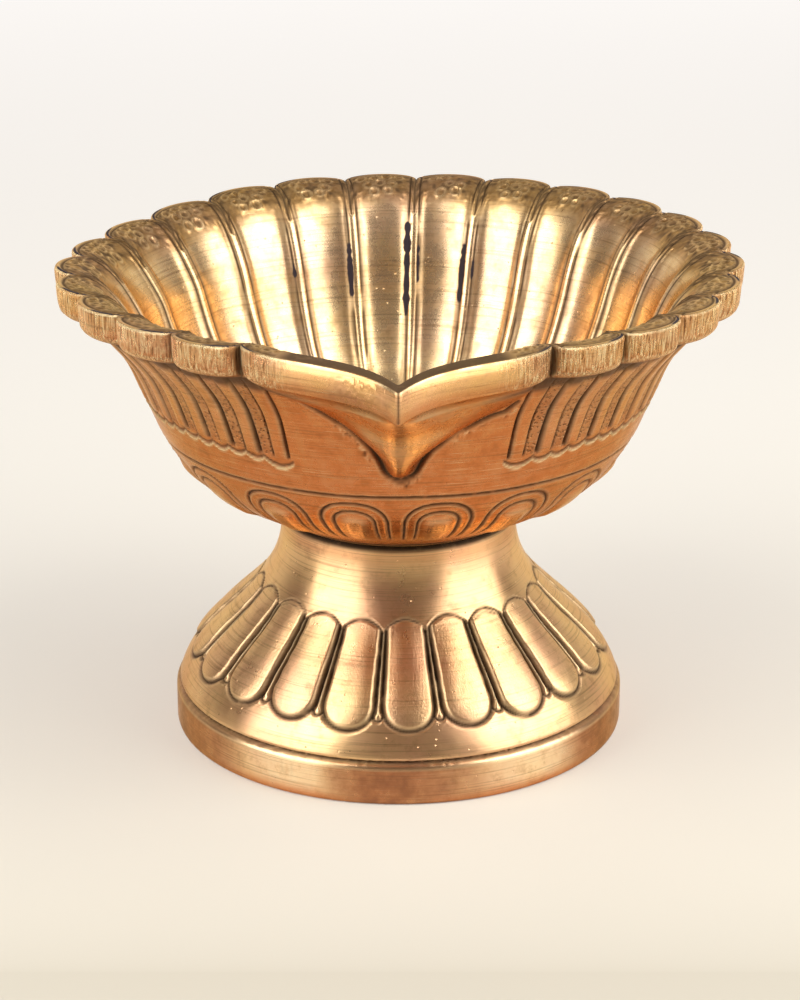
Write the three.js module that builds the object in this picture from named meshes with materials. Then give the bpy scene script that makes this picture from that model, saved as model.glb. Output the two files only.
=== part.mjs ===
// A footed brass oil lamp (diya): a fluted bowl with a lobed rim and a beaked spout, standing on a flared
// pedestal with a ring of petals. A stud, a washer and a nut inside the hollow foot hold the two castings
// together. Millimetres and degrees, +Z up. The spout points to -Y. The lamp stands on z = 0, and the
// origin is the middle of the box around it.

import * as THREE from 'three';

// Pedestal
const pedestalHeight = 38.9;
const neckRadius = 20.6;
const neckPlain = 11.7;
const slopeRadius = 29.2;
const slopeHeight = 21;
const shoulderRadius = 39.2;
const baseRadius = 39.9;
const baseBandHeight = 7.2;
const grooveDepth = 0.7;
const grooveWidth = 0.8;
const pedestalWall = 3.6;
const webThickness = 5;
const edgeBreak = 0.4;

// Petals round the pedestal
const petalCount = 21;
const petalTurn = -5.7;
const petalFoot = 12.4;
const petalArch = 1.6;
const petalToe = 3.6;
const petalRelief = 0.5;
const petalGroove = 0.9;
const petalMargin = 0.7;

// Bowl: heights are measured up from its seat on the pedestal
const bowlHeight = 45.5;
const rimRadius = 59;
const seatOverhang = 0.3;
const ringLineRadius = 42;
const ringLineRise = 17.6;
const waistRise = 30.1;
const floorRadius = 14;
const floorThickness = 6.3;
const bowlWall = 3.8;

// Rim lobes, with the flutes below them on the inside
const lobePitches = 26;
const lobeDepth = 3.9;
const lobeRoundness = 2;
const lobeCrown = 0.25;
const rimFaceHeight = 5.3;
const rimFaceLean = 0.5;
const underRimStep = 2.2;
const fluteDepth = 1.1;
const fluteRoundness = 5;

// The rim was laid out by eye: how far it wanders once and twice on its way round, and from where
const wanderOffset = -1.1;
const wanderOnce = 2.3;
const wanderOnceFrom = 143;
const wanderTwice = 1.35;
const wanderTwiceFrom = 225;

// The rim stands highest at the back right, and is dented at the back left: where, how wide and how much
const rimTilt = 0.5;
const highAt = 150;
const highHalf = 70;
const dentAt = -116;
const dentHalf = 45;
const dentDrop = 1.5;
const dentPush = 1;

// Spout: its beak, the keel under it and the channel in it
const spoutPitches = 4;
const spoutReach = 11.4;
const spoutDip = 1.3;
const spoutSharpness = 4.4;
const spoutShoulder = 8;
const lipWidth = 6.5;
const lipFlatness = 2.6;
const noseBlunt = 0.14;
const keelFoot = 20.8;
const keelFullness = 0.8;
const channelFullness = 1.15;
const keelSpread = 1.3;
const keelToe = 0.04;
const keelCheek = 2.4;

// Reeded band under the rim
const reedsPerLobe = 2;
const reedHeight = 0.45;
const reedFoot = 23;
const reedLip = 0.6;

// Fixing: stud, washer and nut, M6
const studRadius = 3;
const studInBowl = 4.2;
const studTail = 1.5;
const holeClearance = 0.3;
const washerRadius = 6;
const washerThickness = 1.6;
const nutAcrossFlats = 10;
const nutHeight = 5;

// Gap between pieces that lie against each other
const seatGap = 0.3;

// How each curve bends: its two handles, as shares of the way across and of the way up
const shoulderBend = [[0.12, 0.34], [0.58, 0.7]];
const neckBend = [[0.66, 0.34], [1, 0.56]];
const bellyBend = [[0.68, 0.39], [0.76, 0.47]];
const flareBend = [[0.52, 0.7], [0.29, 0.5]];
const basinBend = [[0.65, 0.03], [0.84, 0.42]];
const rollBend = [[0.2, 0.64], [0.4, 1]];

// Fineness
const columnsPerLobe = 8;
const columnsPerPetal = 6;
const roundSegments = 36;

const holeRadius = studRadius + holeClearance;
const seatRadius = neckRadius + seatOverhang;
const petalTop = pedestalHeight - neckPlain;
const lobePitch = 360 / lobePitches;
const spoutHalf = lobePitch * spoutPitches / 2;
const rimUnderside = bowlHeight - rimFaceHeight;
const valleyRadius = rimRadius - lobeDepth;
const { lerp, clamp, smoothstep, degToRad, euclideanModulo } = THREE.MathUtils;
const v2 = (r, z) => new THREE.Vector2(r, z);

// A curve of (radius, height) points between two of them
function bend(from, to, handles) {
  const handle = ([across, up]) => v2(lerp(from.x, to.x, across), lerp(from.y, to.y, up));
  return new THREE.CubicBezierCurve(from, handle(handles[0]), handle(handles[1]), to);
}

// The radius at a height on a curve that climbs all the way
function radiusAt(curve, z) {
  let low = 0;
  let high = 1;
  for (let halving = 0; halving < 40; halving++) {
    const middle = (low + high) / 2;
    if (curve.getPoint(middle).y < z) low = middle;
    else high = middle;
  }
  return curve.getPoint(low).x;
}

// A point at an azimuth, counted from the front (-Y) towards +X
function around(azimuth, r, z) {
  const angle = degToRad(azimuth);
  return new THREE.Vector3(r * Math.sin(angle), -r * Math.cos(angle), z);
}

// A closed solid from rings of points. Each ring runs counter-clockwise seen from above, and the rings
// climb the outside and come down the inside. A ring of one point is a pole, and beside a ring of N points
// may stand one of 2N. Without a pole the last ring meets the first.
function solidFromRings(rings) {
  const positions = rings.flat().flatMap((point) => [point.x, point.y, point.z]);
  const indices = [];
  let start = 0;
  const starts = rings.map((ring) => (start += ring.length) - ring.length);
  const bands = rings[0].length > 1 ? rings.length : rings.length - 1;
  for (let band = 0; band < bands; band++) {
    const next = (band + 1) % rings.length;
    const [below, above] = [rings[band].length, rings[next].length];
    const a = (i) => starts[band] + (i % below);
    const b = (i) => starts[next] + (i % above);
    for (let i = 0; i < Math.max(below, above); i++) {
      if (below === 1) indices.push(a(0), b(i + 1), b(i));
      else if (above === 1) indices.push(a(i), a(i + 1), b(0));
      else if (below === above) indices.push(a(i), a(i + 1), b(i + 1), a(i), b(i + 1), b(i));
      else if (above > below && i < below) {
        indices.push(a(i), b(2 * i + 1), b(2 * i));
        indices.push(a(i), a(i + 1), b(2 * i + 1));
        indices.push(a(i + 1), b(2 * i + 2), b(2 * i + 1));
      } else if (below > above && i < above) {
        indices.push(b(i), a(2 * i), a(2 * i + 1));
        indices.push(b(i), a(2 * i + 1), b(i + 1));
        indices.push(b(i + 1), a(2 * i + 1), a(2 * i + 2));
      }
    }
  }
  const geometry = new THREE.BufferGeometry();
  geometry.setAttribute('position', new THREE.Float32BufferAttribute(positions, 3));
  geometry.setIndex(indices);
  geometry.computeVertexNormals();
  return geometry;
}

// Pedestal

const slope = v2(slopeRadius, slopeHeight);
const neckTop = v2(neckRadius, pedestalHeight - edgeBreak);
const shoulderCurve = bend(v2(shoulderRadius, baseBandHeight + grooveWidth), slope, shoulderBend);
const neckCurve = bend(slope, neckTop, neckBend);
const skirtRadius = (z) => radiusAt(z < slopeHeight ? shoulderCurve : neckCurve, z);

// One ring round the pedestal: place(across) gives [radius, height], where across runs from 0 in the
// groove between two petals, over 1 in the middle of a petal, back to 0
function pedestalRing(columns, place) {
  return Array.from({ length: columns }, (_, i) => {
    const phase = euclideanModulo(i * petalCount / columns, 1);
    return around(petalTurn + 360 * i / columns, ...place(1 - Math.abs(2 * phase - 1)));
  });
}

function pedestalGeometry() {
  const fine = petalCount * columnsPerPetal;
  const coarse = fine / 2;
  const rings = [];
  const plain = (columns, r, z) => rings.push(pedestalRing(columns, () => [r, z]));

  // Base band, with an incised groove above it
  plain(coarse, baseRadius - edgeBreak, 0);
  plain(coarse, baseRadius, edgeBreak);
  plain(coarse, baseRadius, baseBandHeight);
  plain(coarse, shoulderRadius - grooveDepth, baseBandHeight + grooveWidth / 2);
  plain(coarse, shoulderRadius, baseBandHeight + grooveWidth);

  // Petals: their toes are round, their tops are arched, and between two petals lies a groove
  const petal = (climb, margin, relief) => rings.push(pedestalRing(fine, (across) => {
    const gap = 1 - Math.sqrt(1 - (1 - across) ** 2);
    const foot = petalFoot - margin + petalToe * gap;
    const top = petalTop + margin - petalArch * (1 - across) ** 2;
    const z = lerp(foot, top, climb);
    return [skirtRadius(z) + relief * lerp(petalRelief, -petalGroove, gap), z];
  }));
  petal(0, petalMargin, 0);
  for (const climb of [0, 0.16, 0.36, 0.58, 0.8, 1]) petal(climb, 0, 1);
  petal(1, petalMargin, 0);

  // Neck and seat
  for (const climb of [0.35, 0.7]) {
    const z = lerp(petalTop + petalMargin, neckTop.y, climb);
    plain(coarse, skirtRadius(z), z);
  }
  plain(coarse, neckTop.x, neckTop.y);
  plain(coarse, neckRadius - edgeBreak, pedestalHeight);
  plain(coarse, holeRadius, pedestalHeight);

  // Web, and the hollow under it, which follows the outside at the wall's thickness
  plain(coarse, holeRadius, webUnderside);
  plain(coarse, neckRadius - pedestalWall - edgeBreak, webUnderside);
  plain(coarse, neckRadius - pedestalWall, webUnderside - edgeBreak);
  const hollow = (curve, climb) => {
    const point = curve.getPoint(climb);
    const tangent = curve.getTangent(climb);
    plain(coarse, point.x - pedestalWall * tangent.y, point.y + pedestalWall * tangent.x);
  };
  for (const climb of [0.7, 0.35]) hollow(neckCurve, climb);
  for (const climb of [1, 0.6, 0.25]) hollow(shoulderCurve, climb);
  plain(coarse, baseRadius - pedestalWall, 0);
  return solidFromRings(rings);
}

// Bowl

const bellyCurve = bend(v2(seatRadius, edgeBreak), v2(ringLineRadius, ringLineRise), bellyBend);
const flareCurve = bend(bellyCurve.v3, v2(valleyRadius - rimFaceLean, rimUnderside), flareBend);
const innerWaist = v2(radiusAt(flareCurve, waistRise) - bowlWall, waistRise);
const basinCurve = bend(v2(floorRadius, floorThickness), innerWaist, basinBend);
const rollCurve = bend(innerWaist, v2(rimRadius - edgeBreak, bowlHeight), rollBend);

// How far this azimuth lies from the valleys beside it: 1 in a valley, 0 on the crown between two
const fromCrown = (azimuth) => Math.abs(2 * euclideanModulo(azimuth / lobePitch, 1) - 1);
const lobe = (azimuth) => (1 - fromCrown(azimuth) ** lobeRoundness) ** (1 / lobeRoundness);
const flute = (azimuth) => 1 - fromCrown(azimuth) ** fluteRoundness;

// Where this azimuth lies on the spout: 0 at its tip, 1 at its two ends, more on the lobes
const spoutSide = (azimuth) => Math.abs(azimuth) / spoutHalf;
const isSpout = (azimuth) => spoutSide(azimuth) < 1;
const beak = (side) => (1 - side) / (1 + spoutSharpness * side);
const blunted = (side) => Math.hypot(side, noseBlunt) - noseBlunt;
const nose = (side) => beak(blunted(side) / blunted(1));

// A smooth hump: 1 at an azimuth, 0 from half its width away
function hump(azimuth, at, half) {
  const away = Math.abs(euclideanModulo(azimuth - at + 180, 360) - 180);
  return Math.cos(degToRad(90 * Math.min(1, away / half))) ** 2;
}

// How far the upper bowl lies below the rim's highest part, and how far it is pushed in
function settled(azimuth, z) {
  const drop = rimTilt * (1 - hump(azimuth, highAt, highHalf)) + dentDrop * hump(azimuth, dentAt, dentHalf);
  return drop * smoothstep(z, waistRise, rimUnderside);
}
function pushed(azimuth, z) {
  return dentPush * hump(azimuth, dentAt, dentHalf) * smoothstep(z, waistRise, rimUnderside);
}

// How far the edge of the rim stands out past its valleys, and how far it drops below its crowns
function rimOut(azimuth) {
  if (!isSpout(azimuth)) return lobeDepth * lobe(azimuth) - pushed(azimuth, bowlHeight);
  const side = spoutSide(azimuth);
  return lobeDepth * (1 - side ** spoutShoulder) + spoutReach * beak(side);
}
function rimDrop(azimuth) {
  if (!isSpout(azimuth)) return lobeCrown * (1 - lobe(azimuth));
  const side = spoutSide(azimuth);
  return lobeCrown * side ** spoutShoulder + spoutDip * beak(side);
}

// A wedge that grows from nothing at its foot to the whole spout at its top: reach(side, climb) is how far
// it stands out, where side is 0 on its ridge and 1 at its two sides
function wedge(azimuth, z, top, fullness, reach) {
  const climb = clamp((z - keelFoot) / (top - keelFoot), 0, 1);
  const halfWidth = spoutHalf * Math.sqrt(climb ** (2 * keelSpread) + keelToe * climb * (1 - climb));
  if (Math.abs(azimuth) >= halfWidth) return 0;
  return climb ** fullness * reach(Math.abs(azimuth) / halfWidth, climb);
}

// The keel is round at its foot and a blunt nose at its top, with full cheeks on both sides of it
function keel(azimuth, z) {
  return wedge(azimuth, z, rimUnderside - spoutDip, keelFullness, (side, climb) => {
    const cheek = keelCheek * smoothstep(climb, 0.55, 0.95) * (1 - side ** 4);
    return spoutReach * lerp(1 - side * side, nose(side), smoothstep(climb, 0, 1)) + cheek;
  });
}

// The channel's edge keeps its distance from the edge of the spout
function channel(azimuth, z) {
  return wedge(azimuth, z, lipKnee, channelFullness, (side) => {
    const edge = spoutReach * beak(side) - lobeDepth * side ** spoutShoulder;
    return Math.max(0, rimRadius + edge - lerp(lipWidth, valleyRadius - lipInside, side) - lipInside);
  });
}

// Reeds stand all round the bowl but under the spout, with recesses between them
function reeds(azimuth, z) {
  if (isSpout(azimuth) || z < reedFoot || z > rimUnderside - underRimStep) return 0;
  return -reedHeight * Math.cos(degToRad(azimuth / lobePitch * reedsPerLobe * 360));
}

// How far the hand-laid pattern has wandered at this azimuth: nothing at the tip of the spout
function wander(azimuth) {
  const once = wanderOnce * Math.sin(degToRad(azimuth + wanderOnceFrom));
  const twice = wanderTwice * Math.sin(degToRad(2 * azimuth + wanderTwiceFrom));
  return (wanderOffset + once + twice) * Math.min(1, spoutSide(azimuth));
}

// One ring round the bowl: place(azimuth) gives [radius, height]
function bowlRing(columns, place) {
  return Array.from({ length: columns }, (_, i) => {
    const azimuth = euclideanModulo(360 * i / columns + 180, 360) - 180;
    return around(azimuth + wander(azimuth), ...place(azimuth));
  });
}

// Where the roll of the rim turns level, which is the inner edge of its top
const rollKnee = 0.45;
const { x: lipInside, y: lipKnee } = rollCurve.getPoint(rollKnee);

function bowlGeometry() {
  const fine = lobePitches * columnsPerLobe;
  const coarse = fine / 2;
  const sparse = coarse / 2;
  const rings = [];
  const plain = (columns, r, z) => rings.push(bowlRing(columns, () => [r, z]));

  // Blind hole for the stud, and the seat
  rings.push([new THREE.Vector3(0, 0, studInBowl + seatGap)]);
  plain(sparse, holeRadius, studInBowl + seatGap);
  plain(sparse, holeRadius, 0);
  plain(coarse, seatRadius - edgeBreak, 0);

  // Belly, plain up to the ring line
  for (const climb of [0, 0.22, 0.42, 0.6, 0.8, 1]) {
    const point = bellyCurve.getPoint(climb);
    plain(coarse, point.x, point.y);
  }

  // Wall, with the keel and the reeded band on it
  const wall = (columns, z, proud) => rings.push(bowlRing(columns, (azimuth) => {
    const lip = isSpout(azimuth) ? 0 : proud;
    const out = keel(azimuth, z) + reeds(azimuth, z) + lip - pushed(azimuth, z);
    return [radiusAt(flareCurve, z) + out, z - settled(azimuth, z)];
  }));
  wall(coarse, keelFoot, 0);
  wall(fine, reedFoot - reedLip, 0);
  wall(fine, reedFoot, reedHeight);
  for (const climb of [0.12, 0.45, 0.75, 1]) {
    wall(fine, lerp(reedFoot, rimUnderside - underRimStep, climb), 0);
  }

  // Rim: the round-over below, and the upright outer face
  const rim = (inset, z) => rings.push(bowlRing(fine, (azimuth) => {
    return [valleyRadius + rimOut(azimuth) - inset, z - rimDrop(azimuth) - settled(azimuth, z)];
  }));
  rim(rimFaceLean + underRimStep, rimUnderside);
  rim(rimFaceLean / 2, rimUnderside + rimFaceLean);
  rim(0, bowlHeight - edgeBreak);

  // Top of the rim and down the inside, where the crowned lobes turn into hollow flutes
  const inside = (columns, curve, climb) => rings.push(bowlRing(columns, (azimuth) => {
    const { x: r, y: z } = curve.getPoint(climb);
    const atRim = smoothstep(r, lipInside, rimRadius);
    const edge = rimOut(azimuth) - lobeDepth;
    const low = z - settled(azimuth, z);
    if (isSpout(azimuth)) {
      const dip = rimDrop(azimuth) * smoothstep(z, waistRise, bowlHeight);
      if (r < lipInside) return [r + channel(azimuth, z), low - dip];
      const out = (r - lipInside) / (rimRadius - lipInside);
      const flat = lerp(out ** lipFlatness, out, spoutSide(azimuth));
      const width = lerp(flat, atRim, spoutSide(azimuth));
      return [lerp(lipInside + channel(azimuth, z), rimRadius, flat) + edge * width, low - dip];
    }
    const hollow = fluteDepth * flute(azimuth) * smoothstep(z, floorThickness, waistRise / 2);
    return [r + lerp(hollow, edge, atRim), low - rimDrop(azimuth) * atRim];
  }));
  for (const climb of [1, 0.86, 0.72, 0.6, rollKnee, 0.3, 0.15]) inside(fine, rollCurve, climb);
  for (const climb of [1, 0.7, 0.45, 0.2]) inside(coarse, basinCurve, climb);
  plain(sparse, floorRadius, floorThickness);
  rings.push([new THREE.Vector3(0, 0, floorThickness)]);
  return solidFromRings(rings);
}

// Fixing

function lathe(points) {
  return new THREE.LatheGeometry(points, roundSegments).rotateX(Math.PI / 2);
}

function studGeometry() {
  return lathe([
    v2(0, 0),
    v2(studRadius - edgeBreak, 0),
    v2(studRadius, edgeBreak),
    v2(studRadius, studLength - edgeBreak),
    v2(studRadius - edgeBreak, studLength),
    v2(0, studLength),
  ]);
}

function washerGeometry() {
  return lathe([
    v2(holeRadius, 0),
    v2(washerRadius, 0),
    v2(washerRadius, washerThickness),
    v2(holeRadius, washerThickness),
    v2(holeRadius, 0),
  ]);
}

function nutGeometry() {
  const cornerRadius = nutAcrossFlats / Math.sqrt(3);
  const corners = Array.from({ length: 6 }, (_, i) => {
    return new THREE.Vector2(cornerRadius, 0).rotateAround(v2(0, 0), i * Math.PI / 3);
  });
  const outline = new THREE.Shape(corners);
  const bore = new THREE.Path();
  bore.absarc(0, 0, holeRadius, 0, Math.PI * 2, true);
  outline.holes.push(bore);
  const settings = { depth: nutHeight, bevelEnabled: false, curveSegments: roundSegments / 2 };
  return new THREE.ExtrudeGeometry(outline, settings);
}

// Heights in the assembly, each from the piece that it rests on or hangs from
const webUnderside = pedestalHeight - webThickness;
const bowlSeat = pedestalHeight + seatGap;
const washerFoot = webUnderside - seatGap - washerThickness;
const nutFoot = washerFoot - seatGap - nutHeight;
const studFoot = nutFoot - studTail;
const studLength = bowlSeat + studInBowl - studFoot;

const castBrass = new THREE.MeshStandardMaterial({ color: 0xd39a4a, roughness: 0.3, metalness: 1 });
const turnedBrass = new THREE.MeshStandardMaterial({ color: 0xd8ab62, roughness: 0.32, metalness: 1 });
const fixingBrass = new THREE.MeshStandardMaterial({ color: 0xb8944e, roughness: 0.45, metalness: 1 });

function piece(name, geometry, material, z) {
  const mesh = new THREE.Mesh(geometry, material);
  mesh.name = name;
  mesh.position.z = z;
  return mesh;
}

const diya = new THREE.Group();
diya.add(
  piece('pedestal', pedestalGeometry(), turnedBrass, 0),
  piece('bowl', bowlGeometry(), castBrass, bowlSeat),
  piece('stud', studGeometry(), fixingBrass, studFoot),
  piece('washer', washerGeometry(), fixingBrass, washerFoot),
  piece('nut', nutGeometry(), fixingBrass, nutFoot),
);

// The spout reaches further to the front than the rim does to the back
diya.position.y = spoutReach / 2;

export default diya;
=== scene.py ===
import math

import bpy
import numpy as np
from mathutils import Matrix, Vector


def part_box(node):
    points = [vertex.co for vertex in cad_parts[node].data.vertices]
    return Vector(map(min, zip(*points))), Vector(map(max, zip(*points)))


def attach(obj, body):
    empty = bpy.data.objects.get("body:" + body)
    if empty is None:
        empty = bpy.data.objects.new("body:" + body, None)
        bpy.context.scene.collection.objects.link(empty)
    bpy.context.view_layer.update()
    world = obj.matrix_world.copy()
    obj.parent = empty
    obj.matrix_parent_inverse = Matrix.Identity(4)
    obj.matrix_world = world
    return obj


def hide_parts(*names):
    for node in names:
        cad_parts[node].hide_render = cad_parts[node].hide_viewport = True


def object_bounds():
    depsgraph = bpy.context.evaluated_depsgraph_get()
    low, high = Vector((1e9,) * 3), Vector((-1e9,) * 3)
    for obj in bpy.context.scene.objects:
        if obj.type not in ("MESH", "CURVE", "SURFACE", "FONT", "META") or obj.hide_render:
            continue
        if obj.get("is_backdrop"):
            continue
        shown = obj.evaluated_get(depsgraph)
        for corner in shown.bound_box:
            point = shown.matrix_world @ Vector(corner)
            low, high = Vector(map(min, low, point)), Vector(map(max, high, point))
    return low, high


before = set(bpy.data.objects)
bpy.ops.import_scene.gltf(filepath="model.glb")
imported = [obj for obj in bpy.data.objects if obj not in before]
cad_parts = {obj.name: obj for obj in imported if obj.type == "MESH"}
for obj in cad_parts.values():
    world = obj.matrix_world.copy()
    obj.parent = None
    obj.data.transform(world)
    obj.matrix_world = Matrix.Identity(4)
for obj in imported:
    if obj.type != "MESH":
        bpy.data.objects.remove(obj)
cad_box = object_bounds()

# A footed brass oil lamp: a fluted bowl with a lobed rim, a beaked spout and chased ornament, on a flared
# pedestal with a ring of petals, held together by a threaded stud, a washer and a nut under the foot.
# Sizes are millimetres and degrees. Azimuths are counted from the front (-Y) towards +X, and heights of
# the bowl from its seat on the pedestal.

MM = 0.001
scene = bpy.context.scene

# What the frame gives
pedestal_low, pedestal_high = (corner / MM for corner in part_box("pedestal"))
bowl_low, bowl_high = (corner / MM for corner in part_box("bowl"))
AXIS_Y = (pedestal_low.y + pedestal_high.y) / 2
BASE_RADIUS = (pedestal_high.x - pedestal_low.x) / 2
PEDESTAL_HEIGHT = pedestal_high.z
SEAT = bowl_low.z
BOWL_HEIGHT = bowl_high.z - bowl_low.z

# Bowl
RIM_RADIUS, SPOUT_REACH = 59, 11.4
SEAT_RADIUS = 20.9
RING_LINE_RADIUS, RING_LINE_RISE = 42, 17.6
WAIST_RISE = 30.1
FLOOR_RADIUS, FLOOR_THICKNESS = 14, 6.3
BOWL_WALL = 3.8
HOLE_RADIUS, HOLE_DEPTH, HOLE_EDGE = 3.3, 4.5, 0.3
LOBE_PITCHES, SPOUT_PITCHES = 26, 4
PITCH = 360 / LOBE_PITCHES
SPOUT_HALF = PITCH * SPOUT_PITCHES / 2
LOBE_DEPTH, LOBE_ROUNDNESS, LOBE_CROWN = 3.9, 2, 0.25
RIM_FACE, RIM_LEAN, RIM_EDGE = 5.3, 0.5, 0.4
FLUTE_DEPTH = 0.85
SPOUT_DIP, SPOUT_SHARPNESS, SPOUT_SHOULDER, SPOUT_ROUNDING = 1.3, 4.4, 8, 0.012
NOSE_REACH, NOSE_BLUNT, NOSE_SWELL, KEEL_CHEEK = 0.97, 0.24, 0.25, 2.4
NOSE_PINCH = 1
LIP_WIDTH, LIP_FLATNESS = 6.5, 4
KEEL_FOOT, KEEL_FULLNESS, KEEL_SPREAD, KEEL_TOE, CHANNEL_FULLNESS = 20.8, 0.58, 1.3, 0.255, 1.15
TOE_FADE, KEEL_LOPSIDE = 0.1, 0.17
RIM_UNDERSIDE = BOWL_HEIGHT - RIM_FACE
VALLEY_RADIUS = RIM_RADIUS - LOBE_DEPTH
BELLY_BEND = [(0.68, 0.39), (0.76, 0.47)]
FLARE_BEND = [(0.52, 0.7), (0.29, 0.5)]
BASIN_BEND = [(0.65, 0.03), (0.84, 0.42)]
ROLL_BEND = [(0.2, 0.64), (0.4, 1)]
ROLL_KNEE = 0.45

# Hand-laid spacing of the lobes: how far it wanders once and twice on its way round, and from where
WANDER_OFFSET = -1.1
WANDER_ONCE, WANDER_ONCE_FROM = 2.3, 143
WANDER_TWICE, WANDER_TWICE_FROM = 1.35, 225

# The rim stands highest at the back right, and is dented at the back left
RIM_TILT, HIGH_AT, HIGH_HALF = 0.5, 150, 70
DENT_AT, DENT_HALF, DENT_DROP, DENT_PUSH = -116, 45, 1.5, 1.0

# Pedestal
NECK_RADIUS, NECK_PLAIN = 20.6, 11.7
SLOPE_RADIUS, SLOPE_HEIGHT = 29.2, 21
SHOULDER_RADIUS = 39.2
BASE_BAND, GROOVE_WIDTH, GROOVE_DEPTH = 7.2, 0.8, 0.7
PEDESTAL_WALL, WEB = 3.6, 5
PETALS, PETAL_TURN, PETAL_FOOT, PETAL_ARCH, PETAL_TOE = 21, -5.7, 12.4, 1.6, 3.6
PETAL_TOP = PEDESTAL_HEIGHT - NECK_PLAIN
SHOULDER_BEND = [(0.12, 0.34), (0.58, 0.7)]
NECK_BEND = [(0.66, 0.34), (1, 0.56)]

# What the material reads from each point of a mesh, as numbers between 0 and 1
# Several marks also carry painted light: painted shade, painted dark reflections, painted highlights, and a
# painted sheen that makes the inside paler.
MARKS = ("patina_and_shade", "wear_and_highlight", "stipple", "stroke", "copper_and_dark_reflection", "stain_and_shade", "rough", "film_and_dark_reflection", "pale")


# Curves and waves

def bend(start, end, handles):
    """A cubic curve of (radius, height) points; its handles are shares of the way across and up."""
    start, end = np.array(start, float), np.array(end, float)
    a, b = (start + (end - start) * np.array(handle) for handle in handles)

    def curve(t):
        t = np.atleast_1d(t)[:, None]
        return start * (1 - t) ** 3 + 3 * a * t * (1 - t) ** 2 + 3 * b * t ** 2 * (1 - t) + end * t ** 3
    return curve


def radius_at(curve, z):
    points = curve(np.linspace(0, 1, 400))
    return np.interp(z, points[:, 1], points[:, 0])


def points_at(points, places):
    """Points of a path at some lengths along it."""
    lengths = path_lengths(points)
    return np.stack([np.interp(places, lengths, points[:, k]) for k in (0, 1)], 1)


def along(curve, low, high, step):
    """Points on a climbing curve between two heights, evenly spaced, without the last."""
    points = curve(np.linspace(0, 1, 600))
    start, end = np.interp([low, high], points[:, 1], path_lengths(points))
    count = max(2, int(round((end - start) / step)))
    return points_at(points, np.linspace(start, end, count + 1)[:-1])


def lerp(a, b, t):
    return a + (b - a) * t


def clamp(x):
    return np.clip(x, 0, 1)


def ease(x, low, high):
    """0 up to low, 1 from high on, and smooth between them, also where high is below low."""
    t = clamp((x - low) / (high - low))
    return t * t * (3 - 2 * t)


def bump(distance, width):
    return np.exp(-(distance / width) ** 2)


def arc_length(degrees, radius):
    return degrees * np.pi / 180 * radius


def path_lengths(points):
    """How far along a path each of its points lies."""
    return np.concatenate([[0], np.cumsum(np.hypot(*np.diff(points, axis=0).T))])


def sway(x, seed, length):
    """A slow random wave between about -1 and 1."""
    rng = np.random.default_rng(seed)
    waves = zip(rng.uniform(0.6, 2.4, 5), rng.uniform(0, 6.28, 5))
    return sum(np.sin(x * 6.28 * rate / length + phase) for rate, phase in waves) / 2.6


def grain(u, v, seed):
    """Smooth random heights between -1 and 1, one cell to each unit of u and v."""
    table = np.random.default_rng(seed).uniform(-1, 1, (256, 256))
    cell_u, cell_v = np.floor(u).astype(int), np.floor(v).astype(int)
    part_u, part_v = u - cell_u, v - cell_v
    part_u, part_v = part_u ** 2 * (3 - 2 * part_u), part_v ** 2 * (3 - 2 * part_v)
    corner = lambda du, dv: table[(cell_u + du) % 256, (cell_v + dv) % 256]
    near = lerp(corner(0, 0), corner(1, 0), part_u)
    far = lerp(corner(0, 1), corner(1, 1), part_u)
    return lerp(near, far, part_v)


def wrapped(azimuth):
    return (azimuth + 180) % 360 - 180


# Reliefs: what a chaser's tools leave on a surface

class Relief:
    """Heights to add along the surface's normals, and the marks that the material reads."""

    def __init__(self, shape):
        self.height = np.zeros(shape)
        self.marks = {name: np.zeros(shape) for name in MARKS}

    def mark(self, **amounts):
        for name, amount in amounts.items():
            self.marks[name] = np.maximum(self.marks[name], clamp(amount))

    def line(self, distance, depth, width, dark=1.0, burr=0.3):
        """A chased line: a groove with a burr raised on either side of it."""
        groove = bump(distance, width)
        lip = bump(np.abs(distance) - 2 * width, 0.8 * width)
        self.height += depth * (burr * lip - groove)
        strength = clamp(np.asarray(depth) / 0.2)
        self.mark(patina_and_shade=dark * strength * bump(distance, 1.35 * width))
        self.mark(wear_and_highlight=strength * lip * min(1, burr))


# Solids of rings

def linked(name, data):
    """A new object in the scene."""
    thing = bpy.data.objects.new(name, data)
    scene.collection.objects.link(thing)
    return thing


def grid_points(azimuths, radii, heights):
    """Points of one ring, or of many where the radii and heights have rows."""
    angle = np.radians(azimuths)
    return np.stack(np.broadcast_arrays(radii * np.sin(angle), -radii * np.cos(angle), heights), -1)


def raised(points, height):
    """Moves a grid of points along its outward normals."""
    around = np.roll(points, -1, 1) - np.roll(points, 1, 1)
    up = np.gradient(points, axis=0)
    normal = np.cross(around, up)
    normal /= np.maximum(np.linalg.norm(normal, axis=-1, keepdims=True), 1e-9)
    return points + normal * height[..., None]


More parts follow.
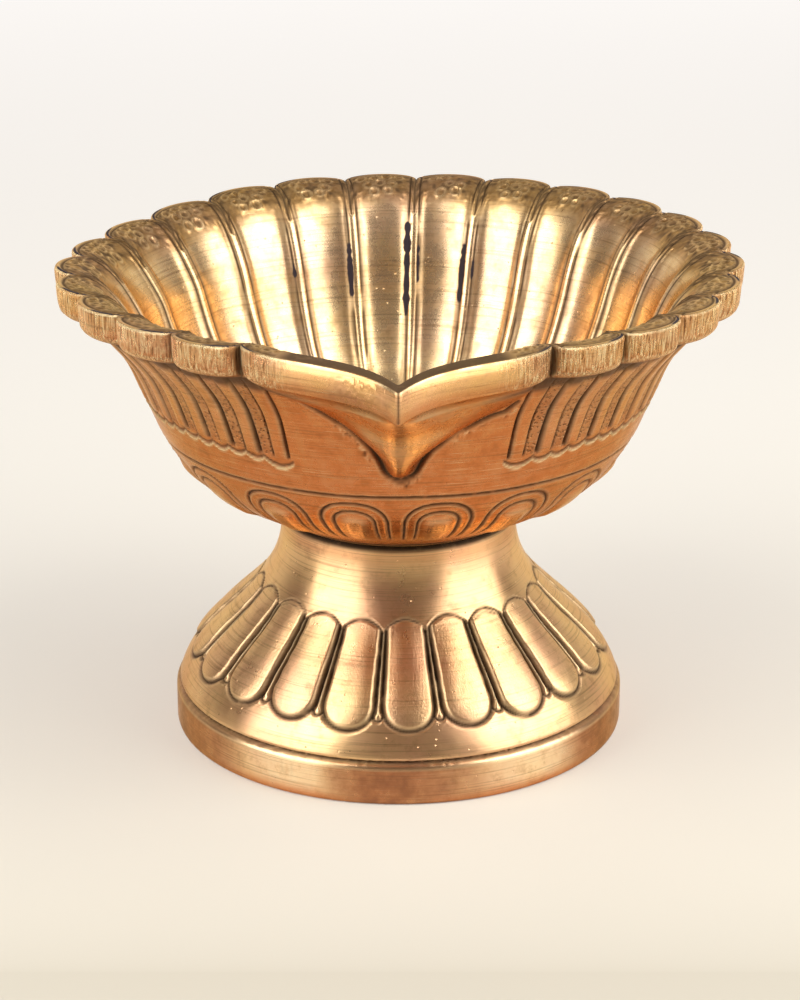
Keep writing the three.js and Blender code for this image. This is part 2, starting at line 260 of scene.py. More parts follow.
class Solid:
    """A closed mesh of rings, which climb the outside and come down the inside. Beside a ring of N points
    may stand one of 2N, and a ring of one point is a pole."""

    def __init__(self):
        self.rings, self.marks = [], []

    def add(self, points, marks=None):
        for row, ring in enumerate(points):
            self.rings.append(ring)
            none = np.zeros(len(ring))
            self.marks.append({name: marks[name][row] if marks else none for name in MARKS})

    def pole(self, z):
        self.add([np.array([[0.0, 0.0, z]])])

    def faces(self):
        """Quads between neighbouring rings, or triangles where two corners of one are the same."""
        counts = [len(ring) for ring in self.rings]
        starts = np.cumsum([0] + counts)
        found = []
        for band in range(len(counts) if counts[0] > 1 else len(counts) - 1):
            after = (band + 1) % len(counts)
            below, above = counts[band], counts[after]
            steps = max(below, above)
            a = starts[band] + np.arange(steps + 1) * below // steps % below
            b = starts[after] + np.arange(steps + 1) * above // steps % above
            quads = np.stack([a[:-1], a[1:], b[1:], b[:-1]], 1).tolist()
            found += [tuple(dict.fromkeys(quad)) for quad in quads]
        return found

    def build(self, name, material):
        points = (np.concatenate(self.rings) + (0, AXIS_Y, 0)) * MM
        mesh = bpy.data.meshes.new(name)
        mesh.from_pydata(np.clip(points, *map(np.array, cad_box)).tolist(), [], self.faces())
        mesh.validate()
        for mark in MARKS:
            values = np.concatenate([marks[mark] for marks in self.marks])
            mesh.attributes.new(mark, "FLOAT", "POINT").data.foreach_set("value", values.astype(np.float32))
        mesh.shade_smooth()
        mesh.materials.append(material)
        return linked(name, mesh)


# Materials

class Nodes:
    """A short hand for a node tree. Sockets are given by name or number, with a value or a link."""

    def __init__(self, owner):
        owner.use_nodes = True
        self.owner, self.tree = owner, owner.node_tree

    def add(self, kind, sockets=None, **settings):
        node = self.tree.nodes.new(kind)
        for key, value in settings.items():
            setattr(node, key, value)
        self.fill(node.inputs, sockets or {})
        return node

    def fill(self, sockets, values):
        for key, value in values.items():
            if isinstance(value, bpy.types.NodeSocket):
                self.tree.links.new(value, sockets[key])
            else:
                sockets[key].default_value = value

    def scaled(self, place, by):
        by = by if isinstance(by, tuple) else (by, by, by)
        return self.add("ShaderNodeVectorMath", {0: place, 1: by}, operation="MULTIPLY").outputs[0]

    def math(self, operation, a, b):
        return self.add("ShaderNodeMath", {0: a, 1: b}, operation=operation).outputs[0]

    def times(self, a, b):
        return self.math("MULTIPLY", a, b)

    def mark(self, name):
        return self.add("ShaderNodeAttribute", attribute_name=name).outputs["Fac"]

    def noise(self, stretch, detail=3.0, roughness=0.55):
        """Noise whose cells are 1 / stretch mm along each axis."""
        sockets = {"Vector": self.scaled(self.place, stretch), "Scale": 1}
        sockets.update(Detail=detail, Roughness=roughness)
        return self.add("ShaderNodeTexNoise", sockets).outputs["Fac"]

    def spots(self, size):
        """Distance to the nearest of random points, about one to each size mm."""
        sockets = {"Vector": self.scaled(self.place, 1 / size), "Scale": 1}
        return self.add("ShaderNodeTexVoronoi", sockets).outputs["Distance"]

    def ramp(self, value, low, high, start=0.0, end=1.0, kind="SMOOTHSTEP"):
        sockets = {"Value": value, "From Min": low, "From Max": high, "To Min": start, "To Max": end}
        return self.add("ShaderNodeMapRange", sockets, interpolation_type=kind).outputs["Result"]

    def mix(self, factor, a, b):
        a, b = ((*colour, 1) if isinstance(colour, tuple) else colour for colour in (a, b))
        return self.add("ShaderNodeMix", {0: factor, 6: a, 7: b}, data_type="RGBA").outputs[2]

    def blend(self, factor, a, b):
        """The same for two numbers."""
        return self.add("ShaderNodeMix", {0: factor, 2: a, 3: b}, data_type="FLOAT").outputs[0]

    def seen(self):
        """1 for what the camera sees, directly, in a mirror image or through glass, and 0 for light."""
        rays = self.add("ShaderNodeLightPath").outputs
        seen = self.math("MAXIMUM", rays["Is Camera Ray"], rays["Is Glossy Ray"])
        return self.math("MAXIMUM", seen, rays["Is Transmission Ray"])

    def bumpy(self, height, distance):
        """Raises the material's surface by a height texture, whose distance is in millimetres."""
        sockets = {"Height": height, "Distance": distance * MM, "Strength": 1.0}
        self.fill(self.shader, {"Normal": self.add("ShaderNodeBump", sockets).outputs["Normal"]})


def material_nodes(name):
    """The nodes of a new material. Their place is a point on the piece, in millimetres."""
    n = Nodes(bpy.data.materials.new(name))
    n.shader = n.tree.nodes["Principled BSDF"].inputs
    n.place = n.scaled(n.add("ShaderNodeTexCoord").outputs["Object"], 1 / MM)
    return n


GOLD = (0.80, 0.50, 0.20)
PALE_GOLD = (0.84, 0.55, 0.27)
PINK_GOLD = (0.73, 0.42, 0.24)
COPPER_AND_DARK_REFLECTION = (0.57, 0.185, 0.058)
UMBER = (0.22, 0.10, 0.04)
PATINA_AND_SHADE = (0.030, 0.014, 0.007)
OLIVE = (0.30, 0.155, 0.042)
TARNISH_AND_DARK_REFLECTION = (0.27, 0.13, 0.075)
STAIN_AND_SHADE = (0.035, 0.028, 0.042)
WORN_AND_HIGHLIGHT = (0.96, 0.78, 0.46)
WARM_EDGE = (1.0, 0.84, 0.58)
CREAM = (0.95, 0.78, 0.51)


def brass(name, plain, brushed, polish, spread):
    """Polished brass. brushed is how the brush ran, as cells per mm along X, Y and Z, polish is the
    roughness where it is cleanest, and spread is how far the marks of turning stretch a highlight upwards."""
    n = material_nodes(name)
    turned = n.add("ShaderNodeTangent", direction_type="RADIAL", axis="Z").outputs["Tangent"]
    n.fill(n.shader, {"Tangent": turned, "Anisotropic": spread, "Anisotropic Rotation": 0.25})
    n.fill(n.shader, {"Specular Tint": (*WARM_EDGE, 1)})
    rough, stroke = n.mark("rough"), n.mark("stroke")
    clouds = n.ramp(n.noise(0.07, 4), 0.35, 0.7)
    blotches = n.noise(0.35, 5, 0.65)
    strokes = n.noise(brushed, 3, 0.6)
    fine = n.noise(tuple(3.1 * share for share in brushed), 2)
    filed = n.noise((3.2, 3.2, 0.16), 4, 0.7)
    speckle = n.ramp(n.spots(0.6), 0.1, 0.5)
    dotted = n.times(n.math("SUBTRACT", 1.0, speckle), n.mark("stipple"))
    crust_and_shade = n.times(n.mark("patina_and_shade"), n.ramp(blotches, 0.15, 0.5, 0.75, 1.0))
    stain_and_shade = n.ramp(n.mark("stain_and_shade"), 0.3, 0.6)

    colour = plain
    for share, over in (
            (clouds, PINK_GOLD),
            # A painted sheen: the inside is painted paler so that its highlights run white.
            (n.times(n.mark("pale"), n.ramp(blotches, 0.3, 0.7, 0.8, 0.35)), CREAM),
            (n.times(n.mark("copper_and_dark_reflection"), n.ramp(blotches, 0.2, 0.65, 0.75, 1.0)), COPPER_AND_DARK_REFLECTION),
            (n.ramp(blotches, 0.52, 0.75, 0.0, 0.35), UMBER),
            (n.ramp(strokes, 0.50, 0.72, 0.0, 0.45), UMBER),
            (n.ramp(fine, 0.60, 0.74, 0.0, 0.35), WORN_AND_HIGHLIGHT),
            (n.times(n.mark("film_and_dark_reflection"), n.ramp(blotches, 0.3, 0.65, 0.45, 0.8)), TARNISH_AND_DARK_REFLECTION),
            (n.times(stroke, n.ramp(filed, 0.45, 0.37)), UMBER),
            (n.times(stroke, n.ramp(filed, 0.50, 0.60, 0.0, 0.75)), WORN_AND_HIGHLIGHT),
            (n.times(dotted, 0.8), UMBER),
            (n.times(n.mark("wear_and_highlight"), 0.75), WORN_AND_HIGHLIGHT),
            (n.times(rough, n.ramp(blotches, 0.25, 0.7, 0.95, 0.45)), OLIVE),
            (crust_and_shade, PATINA_AND_SHADE),
            (stain_and_shade, STAIN_AND_SHADE)):
        colour = n.mix(share, colour, over)

    dull = n.math("MAXIMUM", n.math("MAXIMUM", crust_and_shade, stain_and_shade), n.times(rough, 0.12))
    gloss = n.ramp(blotches, 0.25, 0.75, polish, polish + 0.12)
    n.fill(n.shader, {"Base Color": colour, "Metallic": n.blend(dull, 1.0, 0.35)})
    n.fill(n.shader, {"Roughness": n.blend(dull, gloss, 0.75)})

    pits = n.times(n.ramp(n.spots(1.3), 0.0, 0.16, -1.0, 0.0), n.ramp(n.noise(0.3, 2), 0.5, 0.62))
    height = n.times(pits, 0.7)
    for texture, tall in ((dotted, -1.3), (n.times(filed, stroke), 4.0), (strokes, 0.14), (fine, 0.06),
                          (n.times(blotches, rough), 1.4)):
        height = n.math("ADD", height, n.times(texture, tall))
    n.bumpy(height, 0.12)
    return n.owner


def machined(name):
    """Dull machined brass for the fixing."""
    n = material_nodes(name)
    clouds = n.noise(0.5, 4)
    turned = n.noise((0.4, 0.4, 9.0), 2)
    colour = n.mix(n.ramp(clouds, 0.3, 0.7), (0.60, 0.42, 0.18), (0.38, 0.24, 0.10))
    colour = n.mix(n.ramp(turned, 0.5, 0.8, 0.0, 0.4), colour, PATINA_AND_SHADE)
    rough = n.ramp(clouds, 0.3, 0.7, 0.32, 0.55)
    n.fill(n.shader, {"Base Color": colour, "Metallic": 1.0, "Roughness": rough})
    n.bumpy(turned, 0.02)
    return n.owner


# Bowl

belly = bend((SEAT_RADIUS, 0.4), (RING_LINE_RADIUS, RING_LINE_RISE), BELLY_BEND)
flare = bend((RING_LINE_RADIUS, RING_LINE_RISE), (VALLEY_RADIUS - RIM_LEAN, RIM_UNDERSIDE), FLARE_BEND)
waist = (radius_at(flare, WAIST_RISE) - BOWL_WALL, WAIST_RISE)
basin = bend((FLOOR_RADIUS, FLOOR_THICKNESS), waist, BASIN_BEND)
roll = bend(waist, (RIM_RADIUS - RIM_EDGE, BOWL_HEIGHT), ROLL_BEND)
LIP_INSIDE, LIP_KNEE = roll(ROLL_KNEE)[0]


def wander(azimuth):
    once = WANDER_ONCE * np.sin(np.radians(azimuth + WANDER_ONCE_FROM))
    twice = WANDER_TWICE * np.sin(np.radians(2 * azimuth + WANDER_TWICE_FROM))
    return (WANDER_OFFSET + once + twice) * np.minimum(1, np.abs(azimuth) / SPOUT_HALF)


def from_crown(azimuth):
    """1 in the valley between two lobes, 0 on a crown."""
    return np.abs(2 * ((azimuth / PITCH) % 1) - 1)


def from_valley(azimuth):
    """Degrees to the nearest valley."""
    return (1 - from_crown(azimuth)) * PITCH / 2


def lobe(azimuth):
    return (1 - from_crown(azimuth) ** LOBE_ROUNDNESS) ** (1 / LOBE_ROUNDNESS)


def beak(side):
    """From 1 at the spout's tip to 0 at its ends, with the tip just rounded."""
    soft = np.sqrt(side ** 2 + SPOUT_ROUNDING ** 2) - SPOUT_ROUNDING
    return clamp((1 - side) / (1 + SPOUT_SHARPNESS * soft))


def hump(azimuth, at, half):
    away = np.abs(wrapped(azimuth - at))
    return np.cos(np.pi / 2 * np.minimum(1, away / half)) ** 2


def settled(azimuth, z):
    """How far the upper bowl lies below the rim's highest part."""
    drop = RIM_TILT * (1 - hump(azimuth, HIGH_AT, HIGH_HALF)) + DENT_DROP * hump(azimuth, DENT_AT, DENT_HALF)
    return drop * ease(z, WAIST_RISE, RIM_UNDERSIDE)


def pushed(azimuth, z):
    return DENT_PUSH * hump(azimuth, DENT_AT, DENT_HALF) * ease(z, WAIST_RISE, RIM_UNDERSIDE)


def rim_out(azimuth):
    side = np.abs(azimuth) / SPOUT_HALF
    spout = LOBE_DEPTH * (1 - np.minimum(side, 1) ** SPOUT_SHOULDER) + SPOUT_REACH * beak(side)
    return np.where(side < 1, spout, LOBE_DEPTH * lobe(azimuth) - pushed(azimuth, BOWL_HEIGHT))


def rim_drop(azimuth):
    side = np.abs(azimuth) / SPOUT_HALF
    spout = LOBE_CROWN * np.minimum(side, 1) ** SPOUT_SHOULDER + SPOUT_DIP * beak(side)
    return np.where(side < 1, spout, LOBE_CROWN * (1 - lobe(azimuth)))


def nose(side, climb):
    """The keel's section: a round nose, which gets as keen as the spout's tip at the top."""
    keen = ease(climb, 0.4, 1)
    blunt = NOSE_BLUNT + NOSE_SWELL * (1 - keen)
    soft = (np.sqrt(side ** 2 + blunt ** 2) - blunt) / (np.sqrt(1 + blunt ** 2) - blunt)
    return (1 - soft) / (1 + lerp(NOSE_PINCH, SPOUT_SHARPNESS, keen) * soft)


def wedge(azimuth, z, top):
    """How far a wedge has climbed at a height, and where an azimuth lies on it: 0 is its ridge."""
    climb = clamp((z - KEEL_FOOT) / (top - KEEL_FOOT))
    half = SPOUT_HALF * np.sqrt(climb ** (2 * KEEL_SPREAD) + KEEL_TOE * climb * np.exp(-climb / TOE_FADE))
    return climb, np.minimum(np.abs(azimuth) / np.maximum(half, 1e-6), 1)


def keel(azimuth, z):
    """How far the keel stands out. It is wider on its right, as it was filed."""
    top = RIM_UNDERSIDE - SPOUT_DIP
    lopsided = KEEL_LOPSIDE * (1 - ease(z, lerp(KEEL_FOOT, top, 0.7), top))
    climb, side = wedge(azimuth / (1 + lopsided * np.sign(azimuth)), z, top)
    section = lerp(1 - side ** 2, nose(side, climb), ease(climb, 0.2, 0.9))
    cheek = KEEL_CHEEK * ease(climb, 0.55, 0.95) * (1 - side ** 4)
    return climb ** KEEL_FULLNESS * (NOSE_REACH * SPOUT_REACH * section + cheek)


def channel(azimuth, z):
    """How far the spout's channel reaches: its edge keeps its distance from the edge of the spout."""
    climb, side = wedge(azimuth, z, LIP_KNEE)
    edge = RIM_RADIUS + SPOUT_REACH * beak(side) - LOBE_DEPTH * side ** SPOUT_SHOULDER
    width = lerp(LIP_WIDTH, VALLEY_RADIUS - LIP_INSIDE, side)
    flank = lerp(1 - side ** 2, 1, climb ** 4)
    return climb ** CHANNEL_FULLNESS * np.maximum(edge - width - LIP_INSIDE, 0) * flank


def bowl_columns(spout_columns, lobe_columns):
    """Azimuths of the columns, closer together at the tip of the spout and in the valleys."""
    side = np.arange(-1, 1, 2 / (SPOUT_PITCHES * spout_columns))
    spout = SPOUT_HALF * (side - 0.4 * np.sin(math.pi * side) / math.pi)
    part = np.arange(0, 1, 1 / lobe_columns)
    part = part - 0.45 * np.sin(2 * math.pi * part) / (2 * math.pi)
    lobes = [SPOUT_HALF + PITCH * (index + part) for index in range(LOBE_PITCHES - SPOUT_PITCHES)]
    return np.concatenate([spout, *lobes])


# Chasing on the outside of the bowl

RING_LINE = 16.5
KEEL_LINE = [(-18.5, 75.3), (-16.1, 73.6), (-13.6, 71.8), (-10.4, 69.9), (-7.8, 67.9), (-5.5, 65.6),
             (-3.8, 63.0), (-2.7, 60.7), (0.5, 58.9), (3.6, 60.5), (5.0, 63.1), (6.7, 65.2), (9.0, 67.0),
             (11.7, 68.8), (14.8, 70.0), (17.7, 71.2), (20.3, 71.9), (21.9, 73.8)]
ARCHES, ARCH_TURN = 17, -0.6
ARCH_SPRING, ARCH_FOOT = 10.1, 5.2
ARCH_OUTER, ARCH_INNER = (8.5, 14.9), (5.3, 13.1)
REED_START, REED_PITCH, REED_FOOT, REED_TOP, REED_HEIGHT = 23.3, PITCH / 2, 22.8, 37.8, 0.24
SCALLOP_PITCH, SCALLOP_SAG, FIRST_SCALLOP = 4.6, 0.85, 6.2


def smooth_line(points, count):
    """A smooth curve through given points."""
    points = np.array(points, float)
    line = points_at(points, np.linspace(0, path_lengths(points)[-1], count))
    for _ in range(count // 25):
        line[1:-1] = (line[:-2] + line[1:-1] + line[2:]) / 3
    return line


def chase_ring_line(relief, azimuth, length, ring_length):
    """The incised line round the bowl, above the arches."""
    place = ring_length + 0.12 * sway(azimuth, 3, 120)
    rough = 1 + 0.4 * sway(azimuth, 4, 9)
    relief.line(length - place, 0.26 * np.clip(rough, 0.3, 1.5), 0.24)


def chase_arches(relief, azimuth, radius, length, z, length_at):
    """Double arches below the line, with a boss inside each."""
    pitch = 360 / ARCHES
    index = np.floor((azimuth - ARCH_TURN) / pitch)
    centre = ARCH_TURN + (index + 0.5) * pitch + 0.6 * np.sin(index * 2.3)
    across = arc_length(azimuth - centre, radius)
    up = length - length_at(ARCH_SPRING)
    fade = ease(z, ARCH_FOOT - 1, ARCH_FOOT + 1)
    for (half, apex), width in ((ARCH_OUTER, 0.24), (ARCH_INNER, 0.22)):
        wide = arc_length(half, radius)
        tall = length_at(apex) - length_at(ARCH_SPRING)
        lean = 0.35 * np.sin(index * 1.7)
        reach = ((np.abs(across + lean) / wide) ** 2.3 + (np.maximum(up, 0) / tall) ** 2.3) ** (1 / 2.3)
        distance = (reach - 1) * (wide + tall) / 2
        varied = 1 + 0.35 * sway(up + across + 7 * index, 8, 5)
        relief.line(distance, 0.30 * fade * np.clip(varied, 0.4, 1.4), width)
    boss = ease(-distance, 0.3, 2.6) * fade
    relief.height += 0.5 * boss
    relief.mark(wear_and_highlight=0.35 * boss)


def chase_keel_line(relief, points, azimuth, z, wall_radius):
    """The line that outlines the keel, with punch marks beside it."""
    line = smooth_line(KEEL_LINE, 420)
    line_z = line[:, 1] - SEAT
    on_bowl = grid_points(line[:, 0], wall_radius(line[:, 0], line_z), line_z)
    near = (np.abs(azimuth) < 30) & (z > KEEL_FOOT - 2)
    offsets = points[near][:, None, :] - on_bowl[None, :, :]
    distance = np.full(points.shape[:2], 9.0)
    distance[near] = np.linalg.norm(offsets, axis=-1).min(1)
    varied = np.clip(1 + 0.35 * sway(azimuth, 11, 7), 0.5, 1.4)
    relief.line(distance, 0.50 * varied, 0.40, burr=0.15)
    below = z < np.interp(azimuth, line[:, 0], line_z)
    beside = bump(distance - 1.2, 0.6) * below * clamp(0.6 + 0.9 * sway(azimuth, 12, 11))
    punched = grain(azimuth / 0.45, z / 0.5, 13)
    relief.height -= 0.22 * beside * clamp(punched)
    relief.mark(patina_and_shade=0.9 * beside * clamp(punched), wear_and_highlight=0.6 * beside * clamp(-punched))


def chase_reeds(relief, azimuth, radius, z):
    """Flat reeds with punched grounds between them, which end in a row of thumbnail cuts."""
    beyond = np.abs(azimuth) - REED_START
    foot = REED_FOOT + 0.9 * ease(beyond, 0, 25)
    band = ease(z, foot - 0.1, foot + 0.5) * (1 - ease(z, REED_TOP, REED_TOP + 0.8))
    band = band * (beyond > -0.1)
    index = np.floor(beyond / REED_PITCH)
    part = beyond / REED_PITCH - index
    mm = arc_length(REED_PITCH, radius)
    reed = clamp(1 - ((part - 0.27) / 0.24) ** 2)
    relief.height += band * REED_HEIGHT * (1.4 * np.sqrt(reed) - 0.4)
    ground = ease(part, 0.50, 0.54) * band
    relief.mark(stipple=ground, patina_and_shade=0.22 * ground)
    worn = np.clip(1 + 0.45 * sway(z + 11 * index, 22, 14), 0.35, 1.5)
    thick = np.minimum(part, 1 - part) * mm
    relief.line(thick, 0.50 * band * worn, 0.31, burr=0.12)
    relief.line((part - 0.53) * mm, 0.30 * band * np.clip(2 - worn, 0.3, 1.4), 0.20, burr=0.1)
    relief.mark(wear_and_highlight=0.35 * band * bump((part - 0.07) * mm, 0.12))
    past = np.maximum(beyond - FIRST_SCALLOP, 0) / SCALLOP_PITCH
    first = clamp((beyond + 1) / (FIRST_SCALLOP + 1))
    step = np.where(beyond < FIRST_SCALLOP, first, past % 1)
    sag = np.where(beyond < FIRST_SCALLOP, 1.25, SCALLOP_SAG) * (1 - (2 * step - 1) ** 2)
    cut = foot - 0.25 - sag + 0.2 * sway(azimuth, 21, 40)
    depth = 0.42 * ease(beyond, -1.2, -0.4) * (0.45 + 0.55 * (1 - (2 * step - 1) ** 2))
    away = np.where(beyond > -1.4, z - cut, 9)
    relief.line(away, depth, 0.25, dark=0.8, burr=0)
    # The raised lip under each cut is painted bright: worn metal and a painted highlight where the ledge
    # catches the light.
    lip = bump(away + 0.5, 0.24) * ease(beyond, -1.2, -0.4)
    relief.height += 0.16 * lip
    relief.mark(wear_and_highlight=lip)


def outside_rows():
    """(radius, height) of the bowl's outside before the rim, closer together where it is chased."""
    parts = [along(belly, 0.4, 6, 0.9), along(belly, 6, RING_LINE_RISE, 0.33)]
    parts += [along(flare, RING_LINE_RISE, KEEL_FOOT, 0.7), along(flare, KEEL_FOOT, REED_TOP + 0.4, 0.4)]
    return np.concatenate(parts)


def bowl_outside(solid, columns):
    rows = outside_rows()
    real = wrapped(columns + wander(columns))
    azimuth, z = np.meshgrid(real, rows[:, 1])
    pattern = np.broadcast_to(columns, azimuth.shape)
    radius = rows[:, :1] + keel(pattern, z) - pushed(pattern, z)
    points = grid_points(real, radius, z - settled(pattern, z))
    length = path_lengths(rows)[:, None]
    length_at = lambda height: np.interp(height, rows[:, 1], length[:, 0])
    order = np.argsort(real)

    def wall_radius(at, height):
        on_pattern = np.interp(at, real[order], columns[order])
        profile = np.interp(height, rows[:, 1], rows[:, 0])
        return profile + keel(on_pattern, height)

    relief = Relief(azimuth.shape)
    chase_ring_line(relief, azimuth, length, length_at(RING_LINE))
    chase_arches(relief, azimuth, radius, length, z, length_at)
    chase_keel_line(relief, points, azimuth, z, wall_radius)
    chase_reeds(relief, azimuth, radius, z)
    relief.height += 0.05 * sway(azimuth, 31, 60) * sway(z, 32, 25)
    on_nose = ease(keel(pattern, z), 1.5, 5)
    # Painted shade: a dark band just under the rim, where its overhang shades the wall, partly oxide too, and
    # left out on the keel's nose.
    relief.mark(patina_and_shade=0.85 * ease(z, REED_TOP - 1.6, REED_TOP + 0.4) * (1 - 0.9 * on_nose))
    relief.mark(patina_and_shade=1 - ease(z, 0.6, 2.0))
    reeded = ease(z, 21, 29) * ease(np.abs(azimuth), 22, 34)
    # The outside is coppery and dark, partly its own tone and partly a painted dark reflection; the keel's
    # nose is painted lighter and brighter, a painted highlight.
    relief.mark(copper_and_dark_reflection=1 - 0.3 * reeded - 0.55 * on_nose, wear_and_highlight=0.32 * on_nose)
    points = raised(points, relief.height)
    lower = int(np.argmax(rows[:, 1] > KEEL_FOOT - 0.3))
    for part, step in ((slice(None, lower), 2), (slice(lower, None), 1)):
        marks = {name: mark[part, ::step] for name, mark in relief.marks.items()}
        solid.add(points[part, ::step], marks)


# Rim of the bowl

# How much paler the inside is painted: a painted sheen, so that its highlights run white.
INSIDE_PALE = 0.62
ARC_INSET = 1.25
PUNCH_ROWS = [(3.0, 4), (4.9, 3), (6.7, 2)]
PUNCH_RADIUS, PUNCH_SPACING = 0.80, 2.3

# Up the rim's face: heights above its underside, and insets on the lobes and on the spout
FACE_ROWS = [(-0.75, 4.3, 1.5), (-0.5, 3.0, 1.15), (-0.2, 2.0, 0.85), (0.1, 1.3, 0.65), (0.45, 0.85, 0.5),
             (0.85, 0.55, 0.36), (1.3, 0.36, 0.24), (1.8, 0.26, 0.15), (2.4, 0.2, 0.08), (3.0, 0.14, 0.03),
             (3.6, 0.09, 0.0), (4.1, 0.05, 0.03), (4.5, 0.02, 0.09), (4.8, 0.0, 0.17), (5.0, 0.03, 0.25),
             (5.14, 0.1, 0.32), (5.25, 0.22, 0.38)]


def bowl_rim_face(solid, columns):
    rise, on_lobe, on_spout = np.array(FACE_ROWS).T[:, :, None]
    real = columns + wander(columns)
    side = np.abs(columns) / SPOUT_HALF
    on_lobes = ease(side, 0.70, 0.95)
    spout = 1 - ease(side, 0.75, 1.0)
    height = RIM_UNDERSIDE + np.where(rise < 0, rise * lerp(1, 0.25, spout), rise)
    radius = VALLEY_RADIUS + rim_out(columns) - lerp(on_lobe, on_spout, spout)
    radius = np.maximum(radius, radius_at(flare, np.minimum(height, RIM_UNDERSIDE)))
    z = height - rim_drop(columns) - settled(columns, height)
    spread = arc_length(real, RIM_RADIUS)
    face = ease(height, RIM_UNDERSIDE, RIM_UNDERSIDE + 0.8)
    face = face * (1 - ease(height, BOWL_HEIGHT - 0.7, BOWL_HEIGHT - 0.3))
    relief = Relief(z.shape)
    slant = 0.25 * sway(spread, 41, 25)
    coarse = grain(spread / 0.9 + slant * (z - 40), z / 3.5, 42)
    relief.height += on_lobes * face * 0.09 * coarse
    dings = clamp(grain(spread / 2.1, z / 1.5, 44) - 0.55)
    relief.height -= 0.25 * dings * face * on_lobes
    filed = ease(side, 0.52, 0.85)
    relief.mark(stroke=filed * ease(height, RIM_UNDERSIDE - 0.2, RIM_UNDERSIDE + 0.4))
    crease = bump(columns, 0.26) * ease(height, RIM_UNDERSIDE, RIM_UNDERSIDE + 0.5)
    relief.mark(patina_and_shade=0.75 * crease)
    relief.height -= 0.12 * crease
    valley = bump(arc_length(from_valley(columns), RIM_RADIUS), 0.3) * ease(side, 0.9, 1.0)
    relief.height -= 0.2 * valley * face
    relief.mark(patina_and_shade=0.8 * valley)
    # Painted shade along the lobes' undersides, where they overhang the reeds.
    shade = 1 - ease(height, RIM_UNDERSIDE - 0.2, RIM_UNDERSIDE + 0.35)
    relief.mark(patina_and_shade=0.9 * shade * on_lobes)
    worn = clamp(0.45 + 0.9 * grain(spread / 2.6, 0 * z, 47) + 0.4 * grain(spread, z, 48))
    relief.mark(wear_and_highlight=worn * ease(height, BOWL_HEIGHT - 0.5, BOWL_HEIGHT - 0.15) * (1 - valley))
    # A bright band along the lobes' lower rounded edge: worn metal and a painted highlight.
    relief.mark(wear_and_highlight=0.4 * bump(height - RIM_UNDERSIDE - 0.7, 0.35) * on_lobes)
    pitted = bump(columns + 5, 4) * face
    relief.mark(rough=0.5 * pitted * (grain(spread * 2, z * 2, 45) > 0.1))
    relief.height -= 0.1 * pitted * clamp(grain(spread * 1.6, z * 1.6, 46))
    # Coppery and darker towards the face's underside: partly its tone, partly a painted dark reflection where
    # the face turns down.
    relief.mark(copper_and_dark_reflection=0.12 * on_lobes + 0.2 + 0.6 * (1 - ease(rise, 0.5, 2.8)))
    relief.mark(film_and_dark_reflection=0.75 * bump(columns + 6, 5) * (1 - ease(rise, 1.5, 4.2)))
    points = grid_points(real, radius, z)
    solid.add(np.concatenate([points[:1], raised(points, relief.height)[1:]]), relief.marks)


def chase_lobe_tops(relief, pattern, across, inset, width):
    """Each lobe's top: a line that follows its edge, and rows of bright rings raised on a dark ground."""
    rng = np.random.default_rng(51)
    side = np.abs(pattern) / SPOUT_HALF
    ends = ease(side, 0.62, 0.8)
    flank = width / 2 - np.abs(across)
    arc = np.where(side > 0.7, inset - ARC_INSET, 9)
    relief.line(arc, 0.24 * ease(flank, 0.2, 1.5), 0.24)
    ground = ease(inset, ARC_INSET - 0.3, ARC_INSET + 0.3) * (1 - ease(inset, 6.6, 9.4))
    relief.mark(rough=ends * ground * (0.75 + 0.25 * grain(across * 1.5, inset * 1.5, 52)))
    relief.mark(patina_and_shade=ends * ground * np.clip(0.5 + 0.6 * grain(across * 1.4, inset * 1.4, 53), 0, 0.85))
    relief.height += 0.07 * ends * ground * grain(across * 2.2, inset * 2.2, 54)
    # Painted shade: the crescent between the edge and the arc is painted near black on the half of each lobe
    # turned away from the spout.
    crescent = (1 - ease(inset, 0.5, ARC_INSET)) * ease(inset, 0.15, 0.4)
    relief.mark(stain_and_shade=0.8 * crescent * ends * ease(np.sign(pattern) * across, -1, 4))
    outer = ends * (1 - ease(inset, 7, 9))
    relief.mark(patina_and_shade=0.9 * bump(flank, 0.4) * outer)
    relief.height -= 0.30 * bump(flank, 0.45) * outer
    index = np.floor(pattern / PITCH)
    for lobe_index in np.unique(index):
        here = index == lobe_index
        if not (here & (ends > 0.5)).any():
            continue
        for row_inset, count in PUNCH_ROWS:
            for k in range(count):
                x = (k - (count - 1) / 2) * PUNCH_SPACING + rng.uniform(-0.3, 0.3)
                y = row_inset + rng.uniform(-0.3, 0.3)
                size = PUNCH_RADIUS * rng.uniform(0.85, 1.15)
                if rng.uniform() < 0.08:
                    continue
                away = np.hypot(across[here] - x, inset[here] - y)
                ring = bump(away - size, 0.24) * ends[here]
                relief.height[here] += 0.2 * ring - 0.14 * bump(away - size + 0.45, 0.25) * ends[here]
                for name in ("patina_and_shade", "rough"):
                    relief.marks[name][here] *= 1 - 0.95 * ring
                relief.marks["wear_and_highlight"][here] = np.maximum(relief.marks["wear_and_highlight"][here], 0.45 * ring)


